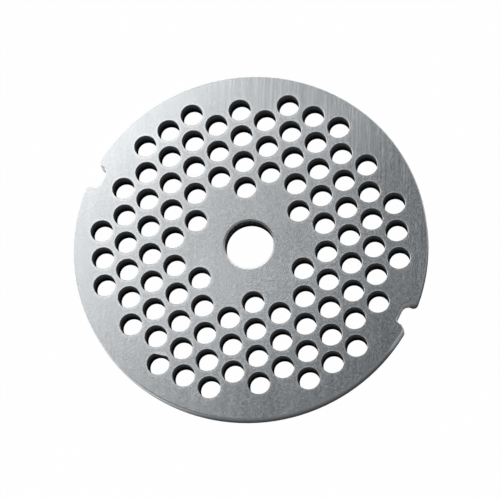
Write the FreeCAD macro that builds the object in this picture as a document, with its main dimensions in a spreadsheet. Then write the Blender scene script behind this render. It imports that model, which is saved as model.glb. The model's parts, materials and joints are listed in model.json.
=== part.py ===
import FreeCAD, Part
import math
import os
import Sketcher

# Meat grinder plate
#
# One flat disc with a bore for the feed screw's shaft, two key slots in the rim that stop it turning
# in the barrel, and a six-sided field of small holes that the meat is pushed through.
# The origin is on the bore's axis in the outlet face, +Z points to the cutting face,
# and the key slots lie on the X axis. Lengths are in millimetres.

# Driving dimensions: alias, value, meaning
DIMENSIONS = [
    ("plate_diameter", 70.0, "outside diameter of the plate"),
    ("plate_thickness", 4.0, "outlet face to cutting face"),
    ("rim_chamfer", 0.2, "edge break all round the outline, both faces"),
    ("bore_diameter", 9.6, "running hole for the feed screw's shaft"),
    ("bore_chamfer", 0.35, "lead-in of the bore, both faces"),
    ("hole_diameter", 4.4, "each small hole"),
    ("hole_web", 1.0, "metal between neighbouring holes of one row"),
    ("hub_offset", 0.95, "how far each hole stands out from its place in the even grid"),
    ("hub_land", 4.5, "least metal between the bore and the first holes"),
    ("rim_land", 3.0, "least metal between the last holes and the rim"),
    ("slot_width", 4.5, "key slot, between its side walls"),
    ("slot_depth", 2.5, "key slot, from the rim to its floor"),
    ("slot_corner_radius", 0.6, "inside corners of a key slot"),
    ("slot_mouth_radius", 0.9, "rounded corners where a key slot meets the rim"),
]

SECTORS = 6
SLOTS = 2
FULL_TURN = 360.0
SHEET = "Dimensions"
PITCH = f"({SHEET}.hole_diameter + {SHEET}.hole_web)"
NODE = "plate"
UP = FreeCAD.Vector(0, 0, 1)
CUTS = ["PartDesign::Pocket", "PartDesign::PolarPattern", "PartDesign::Chamfer"]
NEAR = 1e-4


def make_sheet(doc):
    """The spreadsheet that every feature takes its sizes from."""
    sheet = doc.addObject("Spreadsheet::Sheet", SHEET)
    for row, (alias, value, meaning) in enumerate(DIMENSIONS, start=1):
        sheet.set(f"A{row}", meaning)
        sheet.set(f"B{row}", str(value))
        sheet.setAlias(f"B{row}", alias)
    doc.recompute()


def origin_feature(body, role):
    """A plane or axis of the body's own origin, found by its role."""
    return next(f for f in body.Origin.OriginFeatures if f.Role == role)


def flat_sketch(body, name):
    """An empty sketch on the outlet face's plane, seen from above."""
    sketch = body.newObject("Sketcher::SketchObject", name)
    sketch.AttachmentSupport = [(origin_feature(body, "XY_Plane"), "")]
    sketch.MapMode = "FlatFace"
    return sketch


def bind(sketch, constraint, expression):
    """Adds a dimension to the sketch and ties it to the sheet."""
    index = sketch.addConstraint(constraint)
    sketch.setExpression(f"Constraints[{index}]", expression)


def centred_circle(sketch, diameter, expression):
    """A circle on the plate's axis."""
    circle = sketch.addGeometry(Part.Circle(FreeCAD.Vector(), UP, diameter / 2))
    sketch.addConstraint(Sketcher.Constraint("Coincident", circle, 3, -1, 1))
    bind(sketch, Sketcher.Constraint("Diameter", circle, diameter), expression)


def cut_through(body, sketch, name):
    """Cuts a sketch up through the whole plate."""
    pocket = body.newObject("PartDesign::Pocket", name)
    pocket.Profile = sketch
    pocket.Type = "ThroughAll"
    pocket.Reversed = True
    return pocket


def turn_copies(body, feature, name, copies):
    """Repeats a cut evenly about the bore's axis."""
    pattern = body.newObject("PartDesign::PolarPattern", name)
    pattern.Originals = [feature]
    pattern.Axis = (origin_feature(body, "Z_Axis"), [""])
    pattern.Angle = FULL_TURN
    pattern.Occurrences = copies
    body.Tip = pattern
    return pattern


def dress_edges(body, kind, name, base, wanted, size, expression):
    """A chamfer or fillet on those edges of the base feature for which wanted(edge) holds."""
    edges = enumerate(base.Shape.Edges, start=1)
    dress = body.newObject(f"PartDesign::{kind}", name)
    dress.Base = (base, [f"Edge{number}" for number, edge in edges if wanted(edge)])
    dress.setExpression(size, expression)
    body.Tip = dress
    return dress


def upright_at(radius):
    """Tells whether an edge stands upright at that distance from the axis."""

    def wanted(edge):
        foot = edge.Vertexes[0].Point
        upright = abs(edge.BoundBox.ZLength - edge.Length) < NEAR
        return upright and abs(math.hypot(foot.x, foot.y) - radius) < NEAR

    return wanted


def lies_flat(edge):
    """Tells whether an edge lies in one of the two faces."""
    return edge.BoundBox.ZLength < NEAR


def circle_of(radius):
    """Tells whether an edge is a circle of that radius."""

    def wanted(edge):
        return isinstance(edge.Curve, Part.Circle) and abs(edge.Curve.Radius - radius) < NEAR

    return wanted


def make_disc(body, size):
    """The plain round blank."""
    sketch = flat_sketch(body, "DiscOutline")
    centred_circle(sketch, size["plate_diameter"], f"{SHEET}.plate_diameter")
    pad = body.newObject("PartDesign::Pad", "Disc")
    pad.Profile = sketch
    pad.setExpression("Length", f"{SHEET}.plate_thickness")


def make_slot_sketch(body, size):
    """The first key slot's rectangle, centred on +X. It runs past the rim by its own depth."""
    sketch = flat_sketch(body, "KeySlotOutline")
    rim = size["plate_diameter"] / 2
    floor = rim - size["slot_depth"]
    past = rim + size["slot_depth"]
    half = size["slot_width"] / 2
    corners = [(floor, -half), (past, -half), (past, half), (floor, half)]
    points = [FreeCAD.Vector(x, y, 0) for x, y in corners]
    for start, end in zip(points, points[1:] + points[:1]):
        sketch.addGeometry(Part.LineSegment(start, end))
    for line in range(4):
        sketch.addConstraint(Sketcher.Constraint("Coincident", line, 2, (line + 1) % 4, 1))
    for line, direction in enumerate(["Horizontal", "Vertical", "Horizontal"]):
        sketch.addConstraint(Sketcher.Constraint(direction, line))
    sketch.addConstraint(Sketcher.Constraint("Symmetric", 3, 1, 3, 2, -1))
    bind(sketch, Sketcher.Constraint("DistanceY", 1, 1, 1, 2, 2 * half), f"{SHEET}.slot_width")
    bind(
        sketch,
        Sketcher.Constraint("DistanceX", -1, 1, 3, 2, floor),
        f"{SHEET}.plate_diameter / 2 - {SHEET}.slot_depth",
    )
    bind(
        sketch,
        Sketcher.Constraint("DistanceX", -1, 1, 1, 1, past),
        f"{SHEET}.plate_diameter / 2 + {SHEET}.slot_depth",
    )
    return sketch


def make_slots(doc, body, size):
    """Two key slots opposite each other, with rounded corners, and the edge break round the outline."""
    slot = cut_through(body, make_slot_sketch(body, size), "KeySlot")
    slots = turn_copies(body, slot, "KeySlots", SLOTS)
    doc.recompute()
    rim = size["plate_diameter"] / 2
    corner = math.hypot(rim - size["slot_depth"], size["slot_width"] / 2)
    inside = dress_edges(
        body, "Fillet", "KeySlotCorners", slots, upright_at(corner), "Radius", f"{SHEET}.slot_corner_radius"
    )
    doc.recompute()
    mouths = dress_edges(
        body, "Fillet", "KeySlotMouths", inside, upright_at(rim), "Radius", f"{SHEET}.slot_mouth_radius"
    )
    doc.recompute()
    dress_edges(body, "Chamfer", "OutlineEdgeBreak", mouths, lies_flat, "Size", f"{SHEET}.rim_chamfer")


def make_bore(doc, body, size):
    """The centre bore with a lead-in on both faces."""
    sketch = flat_sketch(body, "BoreOutline")
    centred_circle(sketch, size["bore_diameter"], f"{SHEET}.bore_diameter")
    bore = cut_through(body, sketch, "Bore")
    body.Tip = bore
    doc.recompute()
    wanted = circle_of(size["bore_diameter"] / 2)
    dress_edges(body, "Chamfer", "BoreLeadIn", bore, wanted, "Size", f"{SHEET}.bore_chamfer")


def sector_holes(size):
    """The first sector's hole centres, in grid steps, that leave the hub and rim lands whole."""
    pitch = size["hole_diameter"] + size["hole_web"]
    nearest = (size["bore_diameter"] + size["hole_diameter"]) / 2 + size["hub_land"]
    farthest = (size["plate_diameter"] - size["hole_diameter"]) / 2 - size["rim_land"]
    steps = int(farthest / pitch) + 1
    tilt = math.radians(FULL_TURN / SECTORS)
    centres = []
    for across in range(1, steps + 1):
        for up in range(steps + 1):
            x = across + up * math.cos(tilt)
            y = up * math.sin(tilt)
            if nearest <= pitch * math.hypot(x, y) + size["hub_offset"] <= farthest:
                centres.append((x, y))
    return centres


def make_hole_field(body, size):
    """The small holes: an even triangular grid, each hole moved straight out by the same offset."""
    sketch = flat_sketch(body, "HoleSector")
    pitch = size["hole_diameter"] + size["hole_web"]
    for grid_x, grid_y in sector_holes(size):
        reach = math.hypot(grid_x, grid_y)
        out_x = grid_x / reach
        out_y = grid_y / reach
        x = pitch * grid_x + size["hub_offset"] * out_x
        y = pitch * grid_y + size["hub_offset"] * out_y
        centre = FreeCAD.Vector(x, y, 0)
        hole = sketch.addGeometry(Part.Circle(centre, UP, size["hole_diameter"] / 2))
        bind(
            sketch,
            Sketcher.Constraint("DistanceX", -1, 1, hole, 3, x),
            f"{PITCH} * {grid_x} + {SHEET}.hub_offset * {out_x}",
        )
        if grid_y:
            bind(
                sketch,
                Sketcher.Constraint("DistanceY", -1, 1, hole, 3, y),
                f"{PITCH} * {grid_y} + {SHEET}.hub_offset * {out_y}",
            )
        else:
            sketch.addConstraint(Sketcher.Constraint("PointOnObject", hole, 3, -1))
        if hole:
            sketch.addConstraint(Sketcher.Constraint("Equal", 0, hole))
        else:
            width = Sketcher.Constraint("Diameter", hole, size["hole_diameter"])
            bind(sketch, width, f"{SHEET}.hole_diameter")
    sector = cut_through(body, sketch, "SectorHoles")
    turn_copies(body, sector, "HoleField", SECTORS)


def check(doc, body, size):
    """Stops if a feature failed, a cut took nothing away, or a small hole is missing or broken into."""
    for item in doc.Objects:
        failed = {"Invalid", "Error"} & set(item.State)
        if failed:
            raise RuntimeError(f"{item.Name} is {', '.join(failed)}")
        if item.TypeId in CUTS and item.Shape.Volume > item.BaseFeature.Shape.Volume - NEAR:
            raise RuntimeError(f"{item.Name} cut nothing")
    shape = body.Shape
    if shape.isNull() or not shape.isValid() or len(shape.Solids) != 1:
        raise RuntimeError(f"{body.Label} isn't one valid solid")
    wall = math.pi * size["hole_diameter"] * size["plate_thickness"]
    cut = len([face for face in shape.Faces if abs(face.Area - wall) < NEAR])
    wanted = SECTORS * len(sector_holes(size))
    if cut != wanted:
        raise RuntimeError(f"{cut} small holes were cut and {wanted} are wanted")


def main():
    os.makedirs("parts", exist_ok=True)
    doc = FreeCAD.newDocument("GrinderPlate")
    make_sheet(doc)
    size = {alias: value for alias, value, _ in DIMENSIONS}
    body = doc.addObject("PartDesign::Body", "Plate")
    body.Label = NODE
    make_disc(body, size)
    make_slots(doc, body, size)
    make_bore(doc, body, size)
    make_hole_field(body, size)
    doc.recompute()
    check(doc, body, size)
    body.Shape.exportStep(f"parts/{body.Label}.step")
    print(f"{body.Label}: {body.Shape.Volume:.1f} mm3, {len(body.Shape.Faces)} faces")


main()
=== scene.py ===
"""Looks of the meat grinder plate: the drilled and ground plate, its steel, and the table it lies on."""

import json
import math

import bmesh
import bpy
from bpy.props import FloatProperty, FloatVectorProperty, IntProperty, PointerProperty
from mathutils import Matrix, Vector


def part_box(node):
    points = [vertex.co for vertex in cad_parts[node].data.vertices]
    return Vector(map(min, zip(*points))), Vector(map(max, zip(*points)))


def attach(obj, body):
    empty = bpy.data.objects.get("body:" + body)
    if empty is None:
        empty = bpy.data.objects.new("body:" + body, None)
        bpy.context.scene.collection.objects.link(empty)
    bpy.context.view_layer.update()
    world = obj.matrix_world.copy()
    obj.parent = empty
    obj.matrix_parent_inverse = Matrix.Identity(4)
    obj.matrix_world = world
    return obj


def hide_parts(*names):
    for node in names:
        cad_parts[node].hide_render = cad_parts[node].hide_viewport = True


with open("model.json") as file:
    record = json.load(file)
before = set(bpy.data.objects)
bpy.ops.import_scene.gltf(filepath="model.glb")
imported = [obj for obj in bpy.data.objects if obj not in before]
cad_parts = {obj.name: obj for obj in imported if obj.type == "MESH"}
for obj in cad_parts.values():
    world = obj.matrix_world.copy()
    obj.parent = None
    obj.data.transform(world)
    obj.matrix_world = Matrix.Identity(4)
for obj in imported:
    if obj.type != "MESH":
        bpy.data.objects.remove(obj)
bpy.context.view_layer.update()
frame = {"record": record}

bl_info = {
    "name": "Grinder plate",
    "version": (1, 0, 0),
    "blender": (4, 5, 0),
    "location": "View3D > Sidebar > Grinder plate",
    "description": "Models a drilled grinder plate, its ground steel and its table",
    "category": "Object",
}

MM = 0.001
TINY = 1e-5  # metres, below which two places count as one
SECTORS = 6
SHARP = math.radians(60)  # least turn at an edge that gets broken
SMOOTH = math.radians(12)  # most turn that is shaded smooth
CORNER_STEPS = 8  # flats round a key slot's inside corner
MOUTH_STEPS = 10  # flats round a key slot's mouth
LAP_STEPS = 3  # flats over a small hole's rounded edge
BODY = "root"
NODE = "plate"

LOW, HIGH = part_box(NODE)
MOUNTS = {mount["name"]: mount for mount in frame["record"]["mounts"]}
BORE_RADIUS = MOUNTS["centre_bore"]["dims"]["r_mm"] * MM

# Marks on the plate, with places and distances in millimetres.
KNOCKED_HOLE = (-5.6, -29.0)
RIM_GLINT = ((34.6, -4.4, 4.0), 1.8, 4.6)  # a painted highlight on the rim by one key slot: place, full within, gone beyond
SHEEN_PATCHES = (  # paler or darker patches on the upper face, painted sheen and shade: middle, reach and strength
    ((11.0, -6.0, 0.0), 22.0, 0.1),
    ((-9.5, 9.0, 0.0), 21.0, -0.11),
    ((0.0, -16.0, 0.0), 17.0, 0.09),
    ((21.4, 21.0, 0.0), 18.0, -0.09),
    ((15.5, -27.5, 0.0), 11.0, -0.13),
    ((-19.9, -6.6, 0.0), 15.0, -0.06),
    ((7.5, 31.0, 0.0), 13.0, 0.09),
    ((7.8, 3.6, 0.0), 9.0, -0.1),
    ((28.5, -10.0, 0.0), 22.0, -0.1),
    ((15.5, 11.5, 0.0), 10.0, 0.08),
)
SHEEN_PATCH_CORE = 0.2  # share of its reach over which a patch is at full strength

# Sides of the plate: a way across it, then the millimetres along it where a finish, a painted light or a
# painted shade starts and is full.
LINED = ((0.35, 0.92, 0.0), 12.0, 30.0)  # grinding lines
GRITTY = ((0.9, -0.2, 0.0), -18.0, -4.0)  # clear grit
GRITTIEST = ((0.9, -0.2, 0.0), 0.0, 14.0)  # coarse grit
SHEEN_MARGIN = ((-0.88, 0.4, 0.0), 22.0, 36.0)  # painted sheen on the face near the rim, on one side
SHADED_BREAK = ((0.9, -0.2, 0.0), -22.0, 12.0)  # painted light and shade on the outline's edge break: lighter on one side, darker on the other
LIT_RIM = ((-0.904, -0.427, 0.0), 4.0, 24.0)  # painted light on the outline's lit side
BORE_SHADE = ((0.35, 0.92, 0.0), -1.0, 5.0)  # painted shade on one side of the bore's wall and lead-in
LEAD_IN_SHADE = ((-0.725, 0.69, 0.0), -1.0, 3.5)  # painted shade on the bore's lead-in, on one side
SHEEN_WAY = (0.35, -0.16, 0.0)  # the side on which each small hole has its broad pale ring, partly a painted highlight

# Slopes of the metal, from 0 on an upright wall to 1 on a level face, between which a kind of surface fades.
WALL_ENDS = (0.2, 0.4)
BREAK_STARTS = (0.3, 0.5)
BREAK_ENDS = (0.9, 0.98)

# Distances and heights in millimetres between which a tone changes.
ZONE_BLEND = 0.1
SLOT_DEPTHS = (0.5, 1.7)  # out from a key slot's floor
BROAD_RING = (-0.05, 0.85)  # out from a small hole's edge
NARROW_RING = (0.0, 0.3)
SKIN_HEIGHTS = (0.6, 3.4)  # up a hole's wall, over which painted shade lifts from dark low down
RIM_HEIGHTS = (1.0, 3.6)  # up the outline, over which painted shade lifts from dark by the table
GLINT_HEIGHTS = (0.9, 2.1)  # up the outline, where its painted highlight shows
EDGE_LIMIT = 1.25  # brightest tone of an edge break
RIM_LIMIT = 2.1  # brightest tone of the outline

# Grain of the steel, in specks to a millimetre, or along the grinding lines, across them and up.
LINE_GRAIN = (0.08, 3.0, 0.08)
STREAK_GRAIN = (0.05, 1.3, 0.05)
GRIT_GRAIN = 3.4
CLOUD_GRAIN = 0.22
MOTTLE_GRAIN = 2.6
BORE_MARK_GRAIN = 2.2
BORE_MARK_STRETCH = (1.0, 1.0, 0.3)  # the marks in the bore run up its wall
BORE_MARK_LEVELS = (0.4, 0.64)  # noise between which a mark shows

# Sides of the room: a way in it, then where along it, from -1 to 1, the side starts and where it is full.
FAR_SIDE = ((-0.8, 0.6, 0.0), -0.25, 0.45)
NEAR_SIDE = ((0.725, -0.69, 0.0), -0.06, 0.16)

# Heights in the room, from 0 at the table to 1 straight above, between which its light changes.
GLOW_HEIGHTS = (0.3, 0.6)  # the bright far side ends
PANEL_HEIGHTS = (0.24, 0.42)  # the other sides' paler upper part starts
CEILING_HEIGHTS = (0.72, 0.92)  # the dark ceiling starts

WHITE = (1.0, 1.0, 1.0)
SHADOW_SHARE = 0.01  # how much of the table's shading stays in its white

# The sockets of a Mix node for the first value, the second and the result.
MIX_SOCKETS = {"VECTOR": (4, 5, 1), "RGBA": (6, 7, 2)}


def length(name, default, description):
    """A size in metres that the panel shows in the scene's unit."""
    return FloatProperty(
        name=name, default=default, description=description, unit="LENGTH", precision=6, min=0.0
    )


def share(name, default, description):
    """A plain number between nothing and all."""
    return FloatProperty(
        name=name, default=default, description=description, subtype="FACTOR", min=0.0, max=1.0
    )


def angle(name, degrees, description):
    """An angle, given here in degrees."""
    return FloatProperty(name=name, default=math.radians(degrees), description=description, unit="ROTATION")


def colour(name, default, description):
    """A colour in linear light."""
    return FloatVectorProperty(
        name=name, default=default, description=description, subtype="COLOR", size=3, min=0.0, max=1.0
    )


class PlateSizes(bpy.types.PropertyGroup):
    """Sizes of the plate."""

    radius: length("Radius", HIGH.y, "Outside radius of the plate")
    thickness: length("Thickness", HIGH.z - LOW.z, "Outlet face to cutting face")
    rim_break: length("Rim edge break", 0.2 * MM, "Chamfer round the outline and the key slots")
    bore_radius: length("Bore radius", BORE_RADIUS, "Running hole for the shaft")
    bore_break: length("Bore lead-in", 0.35 * MM, "Width of the bore's chamfer at both faces")
    bore_rise: length("Bore lead-in rise", 0.15 * MM, "How much less deep than wide that chamfer is")
    hole_radius: length("Hole radius", 2.2 * MM, "Each small hole, at the cutting face")
    hole_taper: length("Hole taper", 0.19 * MM, "How much smaller its radius is at the outlet face")
    hole_pitch: length("Hole pitch", 5.4 * MM, "Step of the even grid that the small holes stand on")
    hole_break: length("Hole edge break", 0.08 * MM, "Rounding that lapping leaves at each small hole")
    back_break: length("Hole edge break, outlet", 0.04 * MM, "The same at the outlet face, kept sharper")
    hub_offset: length("Hub offset", 0.95 * MM, "How far each hole stands out from its place in the grid")
    hub_land: length("Hub land", 4.5 * MM, "Least metal between the bore and the first holes")
    rim_land: length("Rim land", 3.0 * MM, "Least metal between the last holes and the rim")
    slot_width: length("Slot width", 4.5 * MM, "Key slot, between its side walls")
    slot_depth: length("Slot depth", 2.5 * MM, "Key slot, from the rim to its floor")
    slot_corner: length("Slot corner", 1.35 * MM, "Radius of a key slot's inside corners")
    slot_mouth: length("Slot mouth", 1.05 * MM, "Radius where a key slot meets the rim")
    burr_spread: angle("Burr spread", 70.0, "Part of one small hole's lip that a knock has flattened")
    burr_turn: angle("Burr turn", 13.0, "Way from the hole's middle to that flat, from +Y")
    rim_facets: IntProperty(name="Rim facets", default=128, min=32, description="Flats round the outline")
    bore_facets: IntProperty(name="Bore facets", default=96, min=16, description="Flats round the bore")
    hole_facets: IntProperty(name="Hole facets", default=48, min=12, description="Flats round a small hole")


class PlateFinish(bpy.types.PropertyGroup):
    """Colours and surface of the steel."""

    steel: colour("Ground steel", (0.55, 0.561, 0.567), "The two faces, as ground")
    edge: colour("Bright edge", (0.755, 0.773, 0.787), "Metal polished at the edge breaks")
    turned: colour("Turned rim", (0.415, 0.437, 0.465), "The turned outline under its edge break")
    # The holes' dark colour is partly a dark skin and partly painted shade.
    skin: colour("Hardening skin", (0.07, 0.074, 0.08), "The dark skin that heat leaves in the holes")
    grain_angle: angle("Grain direction", 114.4, "Way that the grinding lines run, from +X")
    grain: share("Grain", 0.35, "How strongly the grit and the grinding lines show")
    roughness: share("Roughness", 0.25, "Roughness of the ground faces")
    relief: length("Relief", 0.006 * MM, "Depth of the grit and the grinding lines")


class StageSettings(bpy.types.PropertyGroup):
    """The table, the room, the softbox and the camera."""

    floor_size: length("Table size", 6.0, "Side of the square pale table")
    floor_colour: colour("Table colour", (0.82, 0.82, 0.82), "Pale table top")
    room_light: share("Room light", 0.22, "Grey of the room round the table")
    panel_light: share("Panel light", 0.38, "Extra light that the metal mirrors, higher up on the near sides")
    ceiling: colour("Ceiling", (0.076, 0.09, 0.102), "The darker ceiling straight above")
    softbox_place: FloatVectorProperty(
        name="Softbox place",
        default=(-0.541, 0.173, 0.822),
        description="Centre of the softbox",
        subtype="TRANSLATION",
        unit="LENGTH",
    )
    softbox_width: length("Softbox width", 0.506, "Across")
    softbox_height: length("Softbox height", 0.629, "Up and down")
    softbox_power: FloatProperty(
        name="Softbox power", default=2.0, description="Light that the softbox gives", unit="POWER", min=0.0
    )
    camera_turn: angle("Camera azimuth", 46.37, "Round the plate, 0 looks along +Y")
    camera_rise: angle("Camera elevation", 72.88, "Above the table")
    camera_roll: angle("Camera roll", -21.08, "About the line of sight")
    camera_distance: length("Camera distance", 0.48311, "From the cutting face")
    camera_aside: FloatVectorProperty(
        name="Camera aside",
        default=(0.00019, -0.00113),
        description="Shift to the right and up",
        unit="LENGTH",
        precision=6,
        size=2,
    )
    camera_lens: FloatProperty(
        name="Focal length", default=177.42, description="Focal length of the lens", unit="CAMERA", min=1.0
    )


def fresh_start():
    """Object mode, with nothing selected."""
    if bpy.context.object and bpy.context.object.mode != "OBJECT":
        bpy.ops.object.mode_set(mode="OBJECT")
    bpy.ops.object.select_all(action="DESELECT")


def made(name):
    """The object that an operator has just made, with its new name."""
    piece = bpy.context.object
    piece.name = name
    piece.data.name = name
    return piece


def select_edges(piece, wanted):
    """Selects, in edit mode, just the edges for which wanted(edge) holds."""
    bpy.ops.mesh.select_mode(type="EDGE")
    bpy.ops.mesh.select_all(action="DESELECT")
    mesh = bmesh.from_edit_mesh(piece.data)
    picked = [edge for edge in mesh.edges if wanted(edge)]
    if not picked:
        raise RuntimeError(f"{piece.name} has no edge at a place where one is wanted")
    for edge in picked:
        edge.select = True
    mesh.select_flush_mode()
    bmesh.update_edit_mesh(piece.data)


def at_height(edge, height):
    """Tells whether an edge lies level at that height."""
    return all(abs(vertex.co.z - height) < TINY for vertex in edge.verts)


def upright(edge):
    """Tells whether an edge stands upright."""
    first, second = (vertex.co for vertex in edge.verts)
    return (first.xy - second.xy).length < TINY < abs(first.z - second.z)


def from_axis(vertex):
    """Distance of a vertex from the plate's axis."""
    return vertex.co.xy.length


def hole_centres(sizes):
    """Centres of the small holes: an even triangular grid, each hole moved straight out by one offset."""
    tilt = math.tau / SECTORS
    nearest = sizes.bore_radius + sizes.hub_land + sizes.hole_radius
    farthest = sizes.radius - sizes.rim_land - sizes.hole_radius
    steps = int(farthest / sizes.hole_pitch) + 1
    centres = []
    for across in range(1, steps + 1):
        for up in range(steps + 1):
            grid = Vector((across + up * math.cos(tilt), up * math.sin(tilt), 0.0))
            reach = sizes.hole_pitch * grid.length + sizes.hub_offset
            if nearest <= reach <= farthest:
                for turn in range(SECTORS):
                    centres.append(Matrix.Rotation(turn * tilt, 3, "Z") @ grid.normalized() * reach)
    if not centres:
        raise RuntimeError("no small hole fits between the bore and the rim")
    return centres


def slot_cutter(sizes, side):
    """A block that cuts one key slot, with the slot's inside corners rounded."""
    fresh_start()
    bpy.ops.mesh.primitive_cube_add(size=1.0, location=(side * sizes.radius, 0.0, sizes.thickness / 2))
    cutter = made("key_slot_cutter")
    bpy.ops.object.mode_set(mode="EDIT")
    bpy.ops.mesh.select_all(action="SELECT")
    bpy.ops.transform.resize(value=(2 * sizes.slot_depth, sizes.slot_width, 2 * sizes.thickness))
    select_edges(cutter, lambda edge: upright(edge) and edge.verts[0].co.x * side < 0)
    bpy.ops.mesh.bevel(offset=sizes.slot_corner, segments=CORNER_STEPS, affect="EDGES", clamp_overlap=False)
    bpy.ops.object.mode_set(mode="OBJECT")
    return cutter


def blank_disc(sizes):
    """The round blank with its two key slots cut, and the slots' mouths rounded."""
    fresh_start()
    bpy.ops.mesh.primitive_cylinder_add(
        vertices=sizes.rim_facets,
        radius=sizes.radius,
        depth=sizes.thickness,
        location=(0.0, 0.0, sizes.thickness / 2),
    )
    plate = made("ground_plate")
    bpy.ops.object.transform_apply(location=True, rotation=True, scale=True)
    for side in (1, -1):
        cutter = slot_cutter(sizes, side)
        fresh_start()
        plate.select_set(True)
        bpy.context.view_layer.objects.active = plate
        slot = plate.modifiers.new("key_slot", "BOOLEAN")
        slot.object = cutter
        slot.operation = "DIFFERENCE"
        slot.solver = "EXACT"
        bpy.ops.object.modifier_apply(modifier=slot.name)
        bpy.data.objects.remove(cutter)
    bpy.ops.object.mode_set(mode="EDIT")

    def mouth(edge):
        foot = edge.verts[0]
        beside = abs(abs(foot.co.y) - sizes.slot_width / 2) < TINY
        return upright(edge) and beside and from_axis(foot) > sizes.radius - sizes.slot_depth / 4

    select_edges(plate, mouth)
    bpy.ops.mesh.bevel(offset=sizes.slot_mouth, segments=MOUTH_STEPS, affect="EDGES", clamp_overlap=False)
    bpy.ops.object.mode_set(mode="OBJECT")
    return plate


def open_faces(plate):
    """Takes the two level faces out, so that only the upright wall of the blank stays."""
    bpy.ops.mesh.select_mode(type="FACE")
    bpy.ops.mesh.select_all(action="DESELECT")
    mesh = bmesh.from_edit_mesh(plate.data)
    for face in mesh.faces:
        face.select = abs(face.normal.z) > face.normal.xy.length
    bmesh.update_edit_mesh(plate.data)
    bpy.ops.mesh.delete(type="ONLY_FACE")


def drill(plate, sizes, centres):
    """Opens both faces, sets the walls of all the holes in place and fills the faces again round them."""
    bpy.ops.object.mode_set(mode="EDIT")
    open_faces(plate)
    walls = [(Vector((0, 0, 0)), sizes.bore_radius, 0.0, sizes.bore_facets)]
    walls += [(centre, sizes.hole_radius, sizes.hole_taper, sizes.hole_facets) for centre in centres]
    for centre, radius, taper, facets in walls:
        bpy.ops.mesh.primitive_cone_add(
            vertices=facets,
            radius1=radius - taper,
            radius2=radius,
            depth=sizes.thickness,
            end_fill_type="NOTHING",
            location=(centre.x, centre.y, sizes.thickness / 2),
        )
    for height in (0.0, sizes.thickness):
        select_edges(plate, lambda edge: edge.is_boundary and at_height(edge, height))
        bpy.ops.mesh.fill(use_beauty=True)
    bpy.ops.mesh.select_all(action="SELECT")
    bpy.ops.mesh.remove_doubles(threshold=TINY / 10)
    bpy.ops.mesh.normals_make_consistent(inside=False)


def break_edges(plate, sizes):
    """Chamfers the outline and the bore, and rounds the edges of the small holes."""

    def sharp(edge, height):
        return at_height(edge, height) and len(edge.link_faces) == 2 and edge.calc_face_angle(0.0) > SHARP

    inner = sizes.bore_radius + sizes.hub_land / 2
    outer = sizes.radius - sizes.rim_land
    for height, hole_break in ((sizes.thickness, sizes.hole_break), (0.0, sizes.back_break)):
        for least, most, size, steps in (
            (outer, math.inf, sizes.rim_break, 1),
            (0.0, inner, sizes.bore_break, 1),
            (inner, outer, hole_break, LAP_STEPS),
        ):
            select_edges(plate, lambda edge: sharp(edge, height) and least <= from_axis(edge.verts[0]) < most)
            bpy.ops.mesh.bevel(
                offset=size, segments=steps, affect="EDGES", clamp_overlap=False, loop_slide=False
            )
    depth = sizes.bore_break
    for height, lift in ((sizes.thickness - depth, sizes.bore_rise), (depth, -sizes.bore_rise)):
        select_edges(plate, lambda edge: at_height(edge, height) and from_axis(edge.verts[0]) < inner)
        bpy.ops.transform.translate(value=(0.0, 0.0, lift))


def dent_lip(plate, sizes, centres):
    """Flattens part of one small hole's lip to a straight chord, as a knock does."""
    knocked = Vector(KNOCKED_HOLE) * MM
    place = min(centres, key=lambda centre: (centre.xy - knocked).length)
    way = Vector((-math.sin(sizes.burr_turn), math.cos(sizes.burr_turn)))
    chord = sizes.hole_radius * math.cos(sizes.burr_spread / 2)
    lip = 2 * sizes.hole_break
    bpy.ops.mesh.select_mode(type="VERT")
    bpy.ops.mesh.select_all(action="DESELECT")
    mesh = bmesh.from_edit_mesh(plate.data)
    for vertex in mesh.verts:
        away = vertex.co.xy - place.xy
        near = away.length < sizes.hole_radius + lip
        vertex.select = near and away.dot(way) > chord and vertex.co.z > sizes.thickness - lip
    mesh.select_flush(True)
    bmesh.update_edit_mesh(plate.data)
    middle = (place.x, place.y, sizes.thickness)
    flat = (place.x, place.y + chord, sizes.thickness)
    bpy.ops.transform.rotate(value=sizes.burr_turn, orient_axis="Z", center_override=middle)
    bpy.ops.transform.resize(value=(1.0, 0.0, 1.0), center_override=flat)
    bpy.ops.transform.rotate(value=-sizes.burr_turn, orient_axis="Z", center_override=middle)


class Value:
    """An output of a shader node. Arithmetic on it adds the nodes that work it out."""

    def __init__(self, finish, socket):
        self.finish = finish
        self.socket = socket

    def math(self, operation, *others):
        return self.finish.math(operation, self, *others)

    def vector(self, operation, *others):
        return self.finish.vector(operation, self, *others)

    def __add__(self, other):
        return self.math("ADD", other)

    __radd__ = __add__

    def __sub__(self, other):
        return self.math("SUBTRACT", other)

    def __rsub__(self, other):
        return self.finish.math("SUBTRACT", other, self)

    def __mul__(self, other):
        return self.math("MULTIPLY", other)

    __rmul__ = __mul__

    def __truediv__(self, other):
        return self.math("DIVIDE", other)

    def ramp(self, low, high):
        """0 up to low, 1 from high on, and a smooth rise between."""
        return self.finish.node(
            "ShaderNodeMapRange",
            {"interpolation_type": "SMOOTHSTEP"},
            {"Value": self, "From Min": low, "From Max": high},
        )

    def toward(self, way, start, full):
        """For a vector: 0 up to start along a way, 1 from full on, and a smooth rise between."""
        return self.vector("DOT_PRODUCT", way).ramp(start, full)

    def beside(self, place, full, gone):
        """For a vector: 1 within full of a place, 0 from gone on, and a smooth fall between."""
        return 1.0 - self.vector("DISTANCE", place).ramp(full, gone)

    def upward(self):
        """For a vector: its part along Z."""
        return self.finish.node("ShaderNodeSeparateXYZ", inputs={0: self}, output="Z")


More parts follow.
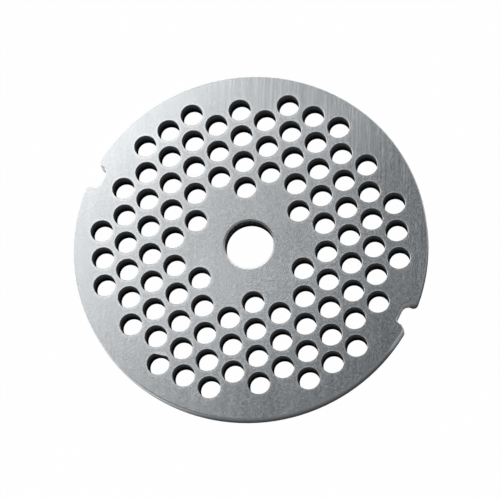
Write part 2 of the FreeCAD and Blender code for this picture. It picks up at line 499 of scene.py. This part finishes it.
class Finish:
    """A node tree in the making, of a material or of the world."""

    def __init__(self, owner):
        owner.use_nodes = True
        self.tree = owner.node_tree
        self.tree.nodes.clear()

    def node(self, kind, settings=None, inputs=None, output=0):
        """Adds any node: its settings first, then its sockets' values or links. Gives one output."""
        node = self.tree.nodes.new(kind)
        for name, value in (settings or {}).items():
            setattr(node, name, value)
        for key, value in (inputs or {}).items():
            if isinstance(value, Value):
                self.tree.links.new(value.socket, node.inputs[key])
            else:
                node.inputs[key].default_value = value
        return Value(self, node.outputs[output]) if node.outputs else None

    def math(self, operation, *values):
        return self.node("ShaderNodeMath", {"operation": operation}, dict(enumerate(values)))

    def vector(self, operation, *values):
        """Vector maths. What measures a vector gives a number, and a scale has a socket of its own."""
        output = "Value" if operation in ("LENGTH", "DISTANCE", "DOT_PRODUCT") else "Vector"
        inputs = dict(zip((0, 3) if operation == "SCALE" else (0, 1), values))
        return self.node("ShaderNodeVectorMath", {"operation": operation}, inputs, output)

    def mix(self, kind, amount, first, second):
        """The first of two vectors or colours where the amount is 0, the second where it is 1."""
        before, after, result = MIX_SOCKETS[kind]
        inputs = {0: amount, before: first, after: second}
        return self.node("ShaderNodeMix", {"data_type": kind}, inputs, result)

    def mix_colour(self, amount, first, second):
        """Mixes two colours, each an output or three plain numbers."""
        first, second = (hue if isinstance(hue, Value) else (*hue, 1.0) for hue in (first, second))
        return self.mix("RGBA", amount, first, second)

    def tinted(self, hue, tone):
        """A colour made lighter or darker by a number."""
        return self.vector("SCALE", hue, tone)

    def noise(self, place, scale=1.0, detail=2.0):
        """Cloudy noise with a mean of about one half."""
        return self.node("ShaderNodeTexNoise", inputs={"Vector": place, "Scale": scale, "Detail": detail})


def nearest_hole(finish, place, sizes):
    """The small hole nearest to a place: how far off its edge is, whether it is drilled, and the side.

    The distance is in millimetres. The side is above 0 where the place lies on the side of the hole's broad
    painted highlight, and below 0 across from it.
    """
    tilt = math.tau / SECTORS
    half = (math.cos(tilt), math.sin(tilt), 0.0)
    cell = (1.0, 2 * math.sin(tilt), 1.0)
    slack = 0.01
    pitch, offset, radius = sizes.hole_pitch / MM, sizes.hub_offset / MM, sizes.hole_radius / MM
    nearest = (sizes.bore_radius + sizes.hub_land) / MM + radius
    farthest = (sizes.radius - sizes.rim_land) / MM - radius
    reach = place.vector("LENGTH")
    grid = place.vector("SCALE", (reach - offset) / (reach * pitch))
    even = grid.vector("ADD", half).vector("SNAP", cell)
    odd = grid.vector("SNAP", cell).vector("ADD", half)
    nearer = grid.vector("DISTANCE", odd).math("LESS_THAN", grid.vector("DISTANCE", even))
    point = finish.mix("VECTOR", nearer, even, odd)
    out = point.vector("LENGTH") * pitch + offset
    centre = point.vector("NORMALIZE").vector("SCALE", out)
    drilled = out.math("GREATER_THAN", nearest - slack) * out.math("LESS_THAN", farthest + slack)
    away = place.vector("SUBTRACT", centre)
    return away.vector("LENGTH") - radius, drilled, away.vector("DOT_PRODUCT", SHEEN_WAY)


class PlateZones:
    """Where a point of the plate lies: places in millimetres, and zones that run from 0 to 1."""

    def __init__(self, finish, sizes):
        self.position = finish.node("ShaderNodeTexCoord", output="Object").vector("SCALE", 1 / MM)
        self.flat_place = self.position.vector("MULTIPLY", (1.0, 1.0, 0.0))
        self.height = self.position.upward()
        reach = self.flat_place.vector("LENGTH")
        level = finish.node("ShaderNodeNewGeometry", output="True Normal").upward().math("ABSOLUTE")
        self.wall = 1.0 - level.ramp(*WALL_ENDS)
        self.edge_break = level.ramp(*BREAK_STARTS) * (1.0 - level.ramp(*BREAK_ENDS))

        hub = (sizes.bore_radius + sizes.hub_land / 2) / MM
        field = (sizes.radius - sizes.rim_land) / MM
        floor = (sizes.radius - sizes.slot_depth) / MM
        self.bore = 1.0 - reach.ramp(hub - ZONE_BLEND, hub + ZONE_BLEND)
        self.outline = reach.ramp(field - ZONE_BLEND, field + ZONE_BLEND)
        # Painted light on the outline's lit side, which is also left metal there.
        self.lit_rim = self.position.toward(*LIT_RIM)
        # Painted shade in the key slots, towards their floors, away from the lit side.
        self.slot_shade = (1.0 - (reach - floor).ramp(*SLOT_DEPTHS)) * (1.0 - self.lit_rim)
        # Painted shade on one side of the bore's wall and lead-in.
        self.bore_shade = self.bore * self.position.toward(*BORE_SHADE)
        # Painted shade on one side of the bore's lead-in.
        self.lead_in_shade = self.bore * self.position.toward(*LEAD_IN_SHADE)
        # A painted highlight on the rim and its edge break by one key slot.
        self.rim_glint = self.position.beside(*RIM_GLINT)
        self.mottle = finish.noise(self.position, MOTTLE_GRAIN, 3.0)


def grinding(finish, zones, look):
    """What grinding leaves on a face: its tone, the relief of its grit and lines, and its broad streaks. The
    tone also carries painted sheen and shade, in patches and in a margin on one side.

    A tone, here and below, is a share of the plain colour, which 1 leaves as it is.
    """
    position = zones.position
    turned = {"Vector": position, "Rotation": (0.0, 0.0, look.grain_angle)}
    along = finish.node("ShaderNodeMapping", {"vector_type": "TEXTURE"}, turned)
    lines = finish.noise(along.vector("MULTIPLY", LINE_GRAIN), detail=1.0)
    streaks = finish.noise(along.vector("MULTIPLY", STREAK_GRAIN)) - 0.5
    grit = finish.noise(position, GRIT_GRAIN)
    clouds = finish.noise(position, CLOUD_GRAIN) - 0.5
    scored = 0.12 + 0.88 * position.toward(*LINED)
    speckle = 0.19 + 0.19 * position.toward(*GRITTY) + 0.48 * position.toward(*GRITTIEST)
    tone = 1.0 + look.grain * (4.0 * speckle * (grit - 0.5) + 1.9 * scored * (lines - 0.5) + 0.3 * streaks)
    # Random clouds, and painted sheen on the face's margin on one side.
    tone = tone + 0.1 * clouds + 0.12 * position.toward(*SHEEN_MARGIN)
    # Painted sheen and shade: paler and darker patches on the face.
    for middle, reach, strength in SHEEN_PATCHES:
        tone = tone + strength * position.beside(middle, SHEEN_PATCH_CORE * reach, reach)
    return tone, grit + 0.5 * scored * lines, streaks


def hole_wear_and_sheen(finish, zones, sizes):
    """How much paler a face is beside a small hole: partly lapping wear, partly painted highlight, in a broad
    ring that is stronger on one side and a narrow one on the other side.
    """
    gap, drilled, side = nearest_hole(finish, zones.flat_place, sizes)
    broad = (1.0 - gap.ramp(*BROAD_RING)) * (0.18 + 0.1 * side)
    narrow = (1.0 - gap.ramp(*NARROW_RING)) * (0.15 - 0.15 * side)
    return drilled * (broad + narrow)


def edge_tone(zones):
    """Tone of the edge breaks: blotchy, with a painted highlight by one key slot, painted light and shade
    along the outline, and painted shade in the key slots and on one side of the bore.
    """
    # Painted light and shade on the outline's edge break: lighter on one side, darker on the other.
    outline_light_and_shade = zones.outline * (0.3 - 0.6 * zones.position.toward(*SHADED_BREAK))
    tone = (0.55 + 0.9 * zones.mottle) * (1.0 + outline_light_and_shade) + 0.5 * zones.rim_glint
    tone = tone.math("MINIMUM", EDGE_LIMIT) * (1.0 - 0.3 * zones.outline * zones.slot_shade)
    return tone * (1.0 - 0.4 * zones.bore_shade) * (1.0 - 0.62 * zones.lead_in_shade)


def skin_and_shade_tone(finish, zones):
    """Tone of the holes' dark skin and painted shade: the shade darkens it downwards and on one side of the
    bore, and marks streak the bore.
    """
    paler = 3.3 * zones.height.ramp(*SKIN_HEIGHTS) * (1.0 - 0.35 * zones.bore)
    tone = (0.2 + paler) * (0.5 + zones.mottle) * (1.0 - 0.4 * zones.bore_shade)
    marks = finish.noise(zones.position.vector("MULTIPLY", BORE_MARK_STRETCH), BORE_MARK_GRAIN)
    return tone * (1.0 + zones.bore * (0.9 * marks.ramp(*BORE_MARK_LEVELS) - 0.35))


def rim_tone(zones):
    """Tone of the turned outline: painted shade that darkens it towards the table and in the key slots,
    painted light on its lit side and a painted highlight by one key slot.
    """
    tone = 0.5 + 0.8 * zones.height.ramp(*RIM_HEIGHTS) + 0.9 * (zones.mottle - 0.5) + 0.35 * zones.lit_rim
    tone = tone * (1.0 - 0.66 * zones.slot_shade) + 1.6 * zones.rim_glint * zones.height.ramp(*GLINT_HEIGHTS)
    return tone.math("MINIMUM", RIM_LIMIT)


def ground_steel(sizes, look):
    """Steel ground flat on both faces, polished at its edges, dark in the holes and turned on the outline,
    with painted light and shade on its faces, edge breaks and walls.
    """
    material = bpy.data.materials.new("ground_steel")
    finish = Finish(material)
    zones = PlateZones(finish, sizes)
    tone, relief, streaks = grinding(finish, zones, look)
    face = finish.tinted(look.steel, tone * (1.0 + hole_wear_and_sheen(finish, zones, sizes)))
    face = finish.mix_colour(zones.edge_break, face, finish.tinted(look.edge, edge_tone(zones)))
    # The hole walls: a dark skin, darkened further as painted shade.
    skin = finish.tinted(look.skin, skin_and_shade_tone(finish, zones))
    wall = finish.mix_colour(zones.outline, skin, finish.tinted(look.turned, rim_tone(zones)))
    skinned = zones.wall * (1.0 - zones.outline * (zones.lit_rim + zones.slot_shade))
    shader = finish.node(
        "ShaderNodeBsdfPrincipled",
        inputs={
            "Base Color": finish.mix_colour(zones.wall, face, wall),
            "Metallic": 1.0 - skinned,
            "Roughness": look.roughness + 0.06 * streaks + 0.25 * zones.wall,
            "Specular IOR Level": 0.0,
            "Normal": finish.node("ShaderNodeBump", inputs={"Distance": look.relief, "Height": relief}),
        },
    )
    finish.node("ShaderNodeOutputMaterial", inputs={"Surface": shader})
    return material


def pale_table(stage):
    """A pale table top that the camera and the metal see as white, apart from the plate's faint shadow."""
    material = bpy.data.materials.new("pale_table")
    finish = Finish(material)
    rays = ("Is Camera Ray", "Is Glossy Ray", "Is Transmission Ray")
    camera, glossy, transmitted = (finish.node("ShaderNodeLightPath", output=ray) for ray in rays)
    seen = camera.math("MAXIMUM", glossy).math("MAXIMUM", transmitted)
    cloth = finish.node("ShaderNodeBsdfDiffuse", inputs={"Color": (*stage.floor_colour, 1.0)})
    white = finish.node("ShaderNodeEmission", inputs={"Color": (*WHITE, 1.0), "Strength": 1.0})
    shader = finish.node("ShaderNodeMixShader", inputs={0: seen * (1.0 - SHADOW_SHARE), 1: cloth, 2: white})
    finish.node("ShaderNodeOutputMaterial", inputs={"Surface": shader})
    return material


def set_softbox(stage):
    """A rectangular softbox that faces the plate."""
    fresh_start()
    bpy.ops.object.light_add(type="AREA", location=stage.softbox_place)
    lamp = made("softbox")
    lamp.data.shape = "RECTANGLE"
    lamp.data.size = stage.softbox_width
    lamp.data.size_y = stage.softbox_height
    lamp.data.energy = stage.softbox_power
    lamp.visible_camera = False
    lamp.rotation_euler = (-lamp.location).to_track_quat("-Z", "Y").to_euler()


def set_world(stage):
    """A grey room, bright low down on its far side and dark overhead, and white where the camera sees it."""
    world = bpy.data.worlds.new("studio")
    bpy.context.scene.world = world
    finish = Finish(world)
    seen = finish.node("ShaderNodeLightPath", output="Is Camera Ray")
    mirrored = finish.node("ShaderNodeLightPath", output="Is Glossy Ray")
    way = finish.node("ShaderNodeTexCoord", output="Generated")
    rise = way.upward()
    far_side = way.toward(*FAR_SIDE)
    glow = far_side * (1.0 - rise.ramp(*GLOW_HEIGHTS))
    panels = mirrored * (1.0 - far_side) * rise.ramp(*PANEL_HEIGHTS)
    grey = stage.room_light + glow + stage.panel_light * panels
    overhead = rise.ramp(*CEILING_HEIGHTS) * (1.0 - mirrored * way.toward(*NEAR_SIDE))
    walls = finish.node("ShaderNodeCombineColor", inputs={0: grey, 1: grey, 2: grey})
    room = finish.mix_colour(overhead, walls, stage.ceiling)
    shown = finish.mix_colour(seen, room, WHITE)
    shader = finish.node("ShaderNodeBackground", inputs={"Color": shown, "Strength": 1.0})
    finish.node("ShaderNodeOutputWorld", inputs={"Surface": shader})


def set_camera(stage, sizes):
    """The camera at the photograph's angle."""
    turn, rise, roll = stage.camera_turn, stage.camera_rise, stage.camera_roll
    back = Vector((math.sin(turn) * math.cos(rise), -math.cos(turn) * math.cos(rise), math.sin(rise)))
    level = Vector((math.cos(turn), math.sin(turn), 0.0))
    right = Matrix.Rotation(roll, 3, back) @ level
    up = back.cross(right)
    centre = Vector((0, 0, sizes.thickness))
    aside = right * stage.camera_aside[0] + up * stage.camera_aside[1]
    place = centre + back * stage.camera_distance + aside
    axes = Matrix((right, up, back)).transposed()
    fresh_start()
    bpy.ops.object.camera_add(location=place, rotation=axes.to_euler())
    camera = made("camera")
    camera.data.lens = stage.camera_lens
    bpy.context.scene.camera = camera


class GRINDER_OT_plate(bpy.types.Operator):
    """Model the plate and give it its steel"""

    bl_idname = "grinder.plate"
    bl_label = "Grinder plate"

    def execute(self, context):
        sizes, look = context.scene.plate_sizes, context.scene.plate_finish
        centres = hole_centres(sizes)
        plate = blank_disc(sizes)
        drill(plate, sizes, centres)
        break_edges(plate, sizes)
        dent_lip(plate, sizes, centres)
        bpy.ops.object.mode_set(mode="OBJECT")
        bpy.ops.object.shade_smooth_by_angle(angle=SMOOTH)
        plate.data.materials.append(ground_steel(sizes, look))
        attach(plate, BODY)
        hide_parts(NODE)
        return {"FINISHED"}


class GRINDER_OT_stage(bpy.types.Operator):
    """Set the table, the softbox, the room and the camera"""

    bl_idname = "grinder.stage"
    bl_label = "Table, softbox and camera"

    def execute(self, context):
        stage, sizes = context.scene.stage_settings, context.scene.plate_sizes
        fresh_start()
        bpy.ops.mesh.primitive_plane_add(size=stage.floor_size, location=(0, 0, -TINY))
        table = made("table")
        table.data.materials.append(pale_table(stage))
        set_softbox(stage)
        set_world(stage)
        set_camera(stage, sizes)
        context.scene.view_settings.view_transform = "Standard"
        return {"FINISHED"}


class GRINDER_PT_panel(bpy.types.Panel):
    """Lists the pieces and their settings"""

    bl_label = "Grinder plate"
    bl_idname = "GRINDER_PT_panel"
    bl_space_type = "VIEW_3D"
    bl_region_type = "UI"
    bl_category = "Grinder plate"

    def draw(self, context):
        for group in (context.scene.plate_sizes, context.scene.plate_finish, context.scene.stage_settings):
            box = self.layout.box()
            for name in group.bl_rna.properties.keys():
                if name not in ("rna_type", "name"):
                    box.prop(group, name)
        self.layout.operator(GRINDER_OT_plate.bl_idname)
        self.layout.operator(GRINDER_OT_stage.bl_idname)


CLASSES = (PlateSizes, PlateFinish, StageSettings, GRINDER_OT_plate, GRINDER_OT_stage, GRINDER_PT_panel)


def register():
    for item in CLASSES:
        bpy.utils.register_class(item)
    bpy.types.Scene.plate_sizes = PointerProperty(type=PlateSizes)
    bpy.types.Scene.plate_finish = PointerProperty(type=PlateFinish)
    bpy.types.Scene.stage_settings = PointerProperty(type=StageSettings)


def unregister():
    del bpy.types.Scene.stage_settings
    del bpy.types.Scene.plate_finish
    del bpy.types.Scene.plate_sizes
    for item in reversed(CLASSES):
        bpy.utils.unregister_class(item)


def main():
    register()
    bpy.ops.grinder.plate()
    bpy.ops.grinder.stage()


if __name__ == "__main__":
    main()
